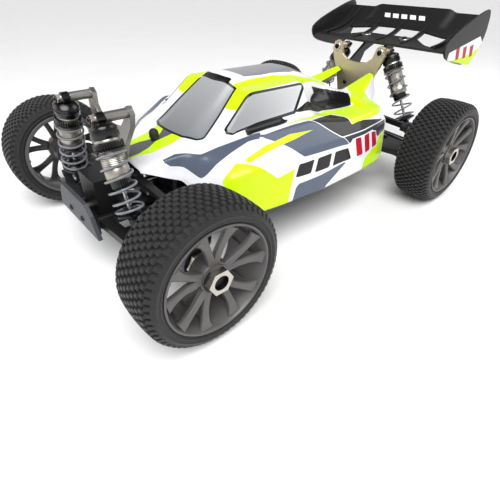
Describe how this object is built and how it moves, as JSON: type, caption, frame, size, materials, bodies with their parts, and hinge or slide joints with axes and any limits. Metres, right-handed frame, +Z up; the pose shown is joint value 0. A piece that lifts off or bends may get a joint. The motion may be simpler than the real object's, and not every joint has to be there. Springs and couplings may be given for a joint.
{
  "type": "rc buggy",
  "caption": "Off-road radio-control buggy with a wide wing, knobbly tyres, coil-over shocks, steering and long-travel suspension under a painted shell.",
  "frame": {"origin": "on the ground, under the centre of the whole car's box", "axes": "+X forward, from the wing to the front tyres, +Y to the car's left, +Z up"},
  "size_m": [0.5084, 0.306, 0.186],
  "materials": {
    "tyre_rubber": "moulded rubber, matt, small square knobs",
    "wheel_nylon": "moulded glass-filled nylon, satin",
    "axle_steel": "turned, satin",
    "arm_nylon": "moulded nylon, satin",
    "shaft_steel": "turned, oiled",
    "shock_alloy": "anodised, satin",
    "shock_rod": "polished shaft with black nylon ends",
    "spring_steel": "painted wire, gloss",
    "hub_alloy": "anodised black",
    "link_steel": "turned steel, satin",
    "link_alloy": "anodised",
    "plate_alloy": "hard anodised, satin",
    "guard_nylon": "moulded nylon",
    "bumper_nylon": "moulded nylon, satin",
    "case_nylon": "moulded nylon",
    "tower_grey": "anodised, satin",
    "tower_gold": "anodised, satin",
    "stay_nylon": "moulded nylon",
    "wing_nylon": "moulded nylon with printed end plates",
    "post_rubber": "moulded rubber cap on a nylon post",
    "gear_steel": "hobbed, oiled",
    "motor_can": "anodised can",
    "battery_case": "hard case",
    "radio_case": "moulded cases",
    "shell_paint": "polycarbonate painted inside in yellow, white, slate and black, gloss"
  },
  "bodies": {
    "chassis": {"chassis_plate": "plate_alloy", "side_guards": "guard_nylon", "front_bumper": "bumper_nylon", "gearbox_cases": "case_nylon", "front_shock_tower": "tower_grey", "rear_shock_tower": "tower_gold", "body_shell": "shell_paint", "body_posts": "post_rubber", "rear_wing": "wing_nylon", "wing_mount": "stay_nylon", "battery_pack": "battery_case", "motor": "motor_can", "radio_gear": "radio_case"},
    "centre driveline": {"centre_driveline": "gear_steel"},
    "motor pinion": {"motor_pinion": "gear_steel"},
    "steering link": {"steering_link": "link_alloy"},
    "lower arm fl": {"lower_arm_fl": "arm_nylon"},
    "upper arm fl": {"upper_arm_fl": "arm_nylon"},
    "driveshaft fl": {"driveshaft_fl": "shaft_steel"},
    "shock body fl": {"shock_body_fl": "shock_alloy", "shock_spring_fl": "spring_steel"},
    "shock rod fl": {"shock_rod_fl": "shock_rod"},
    "wheel fl": {"tyre_fl": "tyre_rubber", "rim_fl": "wheel_nylon", "axle_fl": "axle_steel"},
    "hub fl": {"c_hub_fl": "arm_nylon"},
    "knuckle fl": {"steering_knuckle_fl": "hub_alloy"},
    "tie rod fl": {"tie_rod_fl": "link_steel"},
    "lower arm fr": {"lower_arm_fr": "arm_nylon"},
    "upper arm fr": {"upper_arm_fr": "arm_nylon"},
    "driveshaft fr": {"driveshaft_fr": "shaft_steel"},
    "shock body fr": {"shock_body_fr": "shock_alloy", "shock_spring_fr": "spring_steel"},
    "shock rod fr": {"shock_rod_fr": "shock_rod"},
    "wheel fr": {"tyre_fr": "tyre_rubber", "rim_fr": "wheel_nylon", "axle_fr": "axle_steel"},
    "hub fr": {"c_hub_fr": "arm_nylon"},
    "knuckle fr": {"steering_knuckle_fr": "hub_alloy"},
    "tie rod fr": {"tie_rod_fr": "link_steel"},
    "lower arm rl": {"lower_arm_rl": "arm_nylon"},
    "upper arm rl": {"upper_arm_rl": "arm_nylon"},
    "driveshaft rl": {"driveshaft_rl": "shaft_steel"},
    "shock body rl": {"shock_body_rl": "shock_alloy", "shock_spring_rl": "spring_steel"},
    "shock rod rl": {"shock_rod_rl": "shock_rod"},
    "wheel rl": {"tyre_rl": "tyre_rubber", "rim_rl": "wheel_nylon", "axle_rl": "axle_steel"},
    "hub rl": {"rear_hub_rl": "arm_nylon"},
    "lower arm rr": {"lower_arm_rr": "arm_nylon"},
    "upper arm rr": {"upper_arm_rr": "arm_nylon"},
    "driveshaft rr": {"driveshaft_rr": "shaft_steel"},
    "shock body rr": {"shock_body_rr": "shock_alloy", "shock_spring_rr": "spring_steel"},
    "shock rod rr": {"shock_rod_rr": "shock_rod"},
    "wheel rr": {"tyre_rr": "tyre_rubber", "rim_rr": "wheel_nylon", "axle_rr": "axle_steel"},
    "hub rr": {"rear_hub_rr": "arm_nylon"}
  },
  "joints": [
    {"name": "lower_arm_fl", "type": "hinge", "parent": "chassis", "child": "lower arm fl", "pos_m": [0.19925, 0.022, 0.048], "axis": [1, 0, 0], "range_deg": [-6, 17], "stiffness_Nm_per_rad": 9, "springref_deg": -4.3},
    {"name": "upper_arm_fl", "type": "hinge", "parent": "chassis", "child": "upper arm fl", "pos_m": [0.19925, 0.02, 0.076], "axis": [1, 0, 0], "range_deg": [-6, 17]},
    {"name": "driveshaft_fl", "type": "hinge", "parent": "chassis", "child": "driveshaft fl", "pos_m": [0.19925, 0.032, 0.06], "axis": [1, 0, 0], "range_deg": [-6, 17]},
    {"name": "hub_fl", "type": "hinge", "parent": "lower arm fl", "child": "hub fl", "pos_m": [0.19925, 0.098, 0.043], "axis": [1, 0, 0], "range_deg": [-17, 6]},
    {"name": "shock_swing_fl", "type": "hinge", "parent": "chassis", "child": "shock body fl", "pos_m": [0.21075, 0.033, 0.132], "axis": [1, 0, 0], "range_deg": [-0.41, 1.12]},
    {"name": "shock_slide_fl", "type": "slide", "parent": "shock body fl", "child": "shock rod fl", "axis": [0, -0.3304, 0.9439], "range_m": [-0.00408, 0.01151], "deforming": ["shock_spring_fl"]},
    {"name": "steer_fl", "type": "hinge", "parent": "hub fl", "child": "knuckle fl", "pos_m": [0.19925, 0.108, 0.055], "axis": [0, 0, 1], "range_deg": [-25, 25]},
    {"name": "wheel_fl", "type": "hinge", "parent": "knuckle fl", "child": "wheel fl", "pos_m": [0.19925, 0.132, 0.055], "axis": [0, 1, 0], "continuous": true},
    {"name": "lower_arm_fr", "type": "hinge", "parent": "chassis", "child": "lower arm fr", "pos_m": [0.19925, -0.022, 0.048], "axis": [-1, 0, 0], "range_deg": [-6, 17], "stiffness_Nm_per_rad": 9, "springref_deg": -4.3},
    {"name": "upper_arm_fr", "type": "hinge", "parent": "chassis", "child": "upper arm fr", "pos_m": [0.19925, -0.02, 0.076], "axis": [-1, 0, 0], "range_deg": [-6, 17]},
    {"name": "driveshaft_fr", "type": "hinge", "parent": "chassis", "child": "driveshaft fr", "pos_m": [0.19925, -0.032, 0.06], "axis": [-1, 0, 0], "range_deg": [-6, 17]},
    {"name": "hub_fr", "type": "hinge", "parent": "lower arm fr", "child": "hub fr", "pos_m": [0.19925, -0.098, 0.043], "axis": [-1, 0, 0], "range_deg": [-17, 6]},
    {"name": "shock_swing_fr", "type": "hinge", "parent": "chassis", "child": "shock body fr", "pos_m": [0.21075, -0.033, 0.132], "axis": [-1, 0, 0], "range_deg": [-0.41, 1.12]},
    {"name": "shock_slide_fr", "type": "slide", "parent": "shock body fr", "child": "shock rod fr", "axis": [0, 0.3304, 0.9439], "range_m": [-0.00408, 0.01151], "deforming": ["shock_spring_fr"]},
    {"name": "steer_fr", "type": "hinge", "parent": "hub fr", "child": "knuckle fr", "pos_m": [0.19925, -0.108, 0.055], "axis": [0, 0, 1], "range_deg": [-25, 25]},
    {"name": "wheel_fr", "type": "hinge", "parent": "knuckle fr", "child": "wheel fr", "pos_m": [0.19925, -0.132, 0.055], "axis": [0, 1, 0], "continuous": true},
    {"name": "lower_arm_rl", "type": "hinge", "parent": "chassis", "child": "lower arm rl", "pos_m": [-0.12575, 0.022, 0.048], "axis": [1, 0, 0], "range_deg": [-6, 17], "stiffness_Nm_per_rad": 10, "springref_deg": -4.87},
    {"name": "upper_arm_rl", "type": "hinge", "parent": "chassis", "child": "upper arm rl", "pos_m": [-0.12575, 0.02, 0.076], "axis": [1, 0, 0], "range_deg": [-6, 17]},
    {"name": "driveshaft_rl", "type": "hinge", "parent": "chassis", "child": "driveshaft rl", "pos_m": [-0.12575, 0.032, 0.06], "axis": [1, 0, 0], "range_deg": [-6, 17]},
    {"name": "hub_rl", "type": "hinge", "parent": "lower arm rl", "child": "hub rl", "pos_m": [-0.12575, 0.098, 0.043], "axis": [1, 0, 0], "range_deg": [-17, 6]},
    {"name": "shock_swing_rl", "type": "hinge", "parent": "chassis", "child": "shock body rl", "pos_m": [-0.15225, 0.031, 0.141], "axis": [1, 0, 0], "range_deg": [-1.45, 4.07]},
    {"name": "shock_slide_rl", "type": "slide", "parent": "shock body rl", "child": "shock rod rl", "axis": [0, -0.5159, 0.8566], "range_m": [-0.00605, 0.01712], "deforming": ["shock_spring_rl"]},
    {"name": "wheel_rl", "type": "hinge", "parent": "hub rl", "child": "wheel rl", "pos_m": [-0.12575, 0.132, 0.055], "axis": [0, 1, 0], "continuous": true},
    {"name": "lower_arm_rr", "type": "hinge", "parent": "chassis", "child": "lower arm rr", "pos_m": [-0.12575, -0.022, 0.048], "axis": [-1, 0, 0], "range_deg": [-6, 17], "stiffness_Nm_per_rad": 10, "springref_deg": -4.87},
    {"name": "upper_arm_rr", "type": "hinge", "parent": "chassis", "child": "upper arm rr", "pos_m": [-0.12575, -0.02, 0.076], "axis": [-1, 0, 0], "range_deg": [-6, 17]},
    {"name": "driveshaft_rr", "type": "hinge", "parent": "chassis", "child": "driveshaft rr", "pos_m": [-0.12575, -0.032, 0.06], "axis": [-1, 0, 0], "range_deg": [-6, 17]},
    {"name": "hub_rr", "type": "hinge", "parent": "lower arm rr", "child": "hub rr", "pos_m": [-0.12575, -0.098, 0.043], "axis": [-1, 0, 0], "range_deg": [-17, 6]},
    {"name": "shock_swing_rr", "type": "hinge", "parent": "chassis", "child": "shock body rr", "pos_m": [-0.15225, -0.031, 0.141], "axis": [-1, 0, 0], "range_deg": [-1.45, 4.07]},
    {"name": "shock_slide_rr", "type": "slide", "parent": "shock body rr", "child": "shock rod rr", "axis": [0, 0.5159, 0.8566], "range_m": [-0.00605, 0.01712], "deforming": ["shock_spring_rr"]},
    {"name": "wheel_rr", "type": "hinge", "parent": "hub rr", "child": "wheel rr", "pos_m": [-0.12575, -0.132, 0.055], "axis": [0, 1, 0], "continuous": true},
    {"name": "steering_slide", "type": "slide", "parent": "chassis", "child": "steering link", "axis": [0, 1, 0], "range_m": [-0.00762, 0.00762]},
    {"name": "tie_rod_fl", "type": "hinge", "parent": "steering link", "child": "tie rod fl", "pos_m": [0.18125, 0.032, 0.066], "axis": [1, 0, 0], "range_deg": [-6, 17]},
    {"name": "tie_rod_fr", "type": "hinge", "parent": "steering link", "child": "tie rod fr", "pos_m": [0.18125, -0.032, 0.066], "axis": [-1, 0, 0], "range_deg": [-6, 17]},
    {"name": "centre_spin", "type": "hinge", "parent": "chassis", "child": "centre driveline", "pos_m": [0.03675, 0, 0.06], "axis": [1, 0, 0], "continuous": true},
    {"name": "pinion_spin", "type": "hinge", "parent": "chassis", "child": "motor pinion", "pos_m": [0.03675, -0.0236, 0.06], "axis": [1, 0, 0], "continuous": true}
  ],
  "couplings": [
    {"joint": "upper_arm_fl", "follows": "lower_arm_fl", "ratio": 1},
    {"joint": "driveshaft_fl", "follows": "lower_arm_fl", "ratio": 1},
    {"joint": "hub_fl", "follows": "lower_arm_fl", "ratio": -1},
    {"joint": "shock_swing_fl", "follows": "lower_arm_fl", "ratio": 0.0647},
    {"joint": "shock_slide_fl", "follows": "lower_arm_fl", "m_per_rad": 0.038734},
    {"joint": "upper_arm_fr", "follows": "lower_arm_fr", "ratio": 1},
    {"joint": "driveshaft_fr", "follows": "lower_arm_fr", "ratio": 1},
    {"joint": "hub_fr", "follows": "lower_arm_fr", "ratio": -1},
    {"joint": "shock_swing_fr", "follows": "lower_arm_fr", "ratio": 0.0647},
    {"joint": "shock_slide_fr", "follows": "lower_arm_fr", "m_per_rad": 0.038734},
    {"joint": "upper_arm_rl", "follows": "lower_arm_rl", "ratio": 1},
    {"joint": "driveshaft_rl", "follows": "lower_arm_rl", "ratio": 1},
    {"joint": "hub_rl", "follows": "lower_arm_rl", "ratio": -1},
    {"joint": "shock_swing_rl", "follows": "lower_arm_rl", "ratio": 0.2381},
    {"joint": "shock_slide_rl", "follows": "lower_arm_rl", "m_per_rad": 0.057618},
    {"joint": "upper_arm_rr", "follows": "lower_arm_rr", "ratio": 1},
    {"joint": "driveshaft_rr", "follows": "lower_arm_rr", "ratio": 1},
    {"joint": "hub_rr", "follows": "lower_arm_rr", "ratio": -1},
    {"joint": "shock_swing_rr", "follows": "lower_arm_rr", "ratio": 0.2381},
    {"joint": "shock_slide_rr", "follows": "lower_arm_rr", "m_per_rad": 0.057618},
    {"joint": "steer_fr", "follows": "steer_fl", "ratio": 1},
    {"joint": "steering_slide", "follows": "steer_fl", "m_per_rad": -0.017434},
    {"joint": "tie_rod_fl", "follows": "lower_arm_fl", "ratio": 1},
    {"joint": "tie_rod_fr", "follows": "lower_arm_fr", "ratio": 1},
    {"joint": "pinion_spin", "follows": "centre_spin", "ratio": -3.5385}
  ]
}
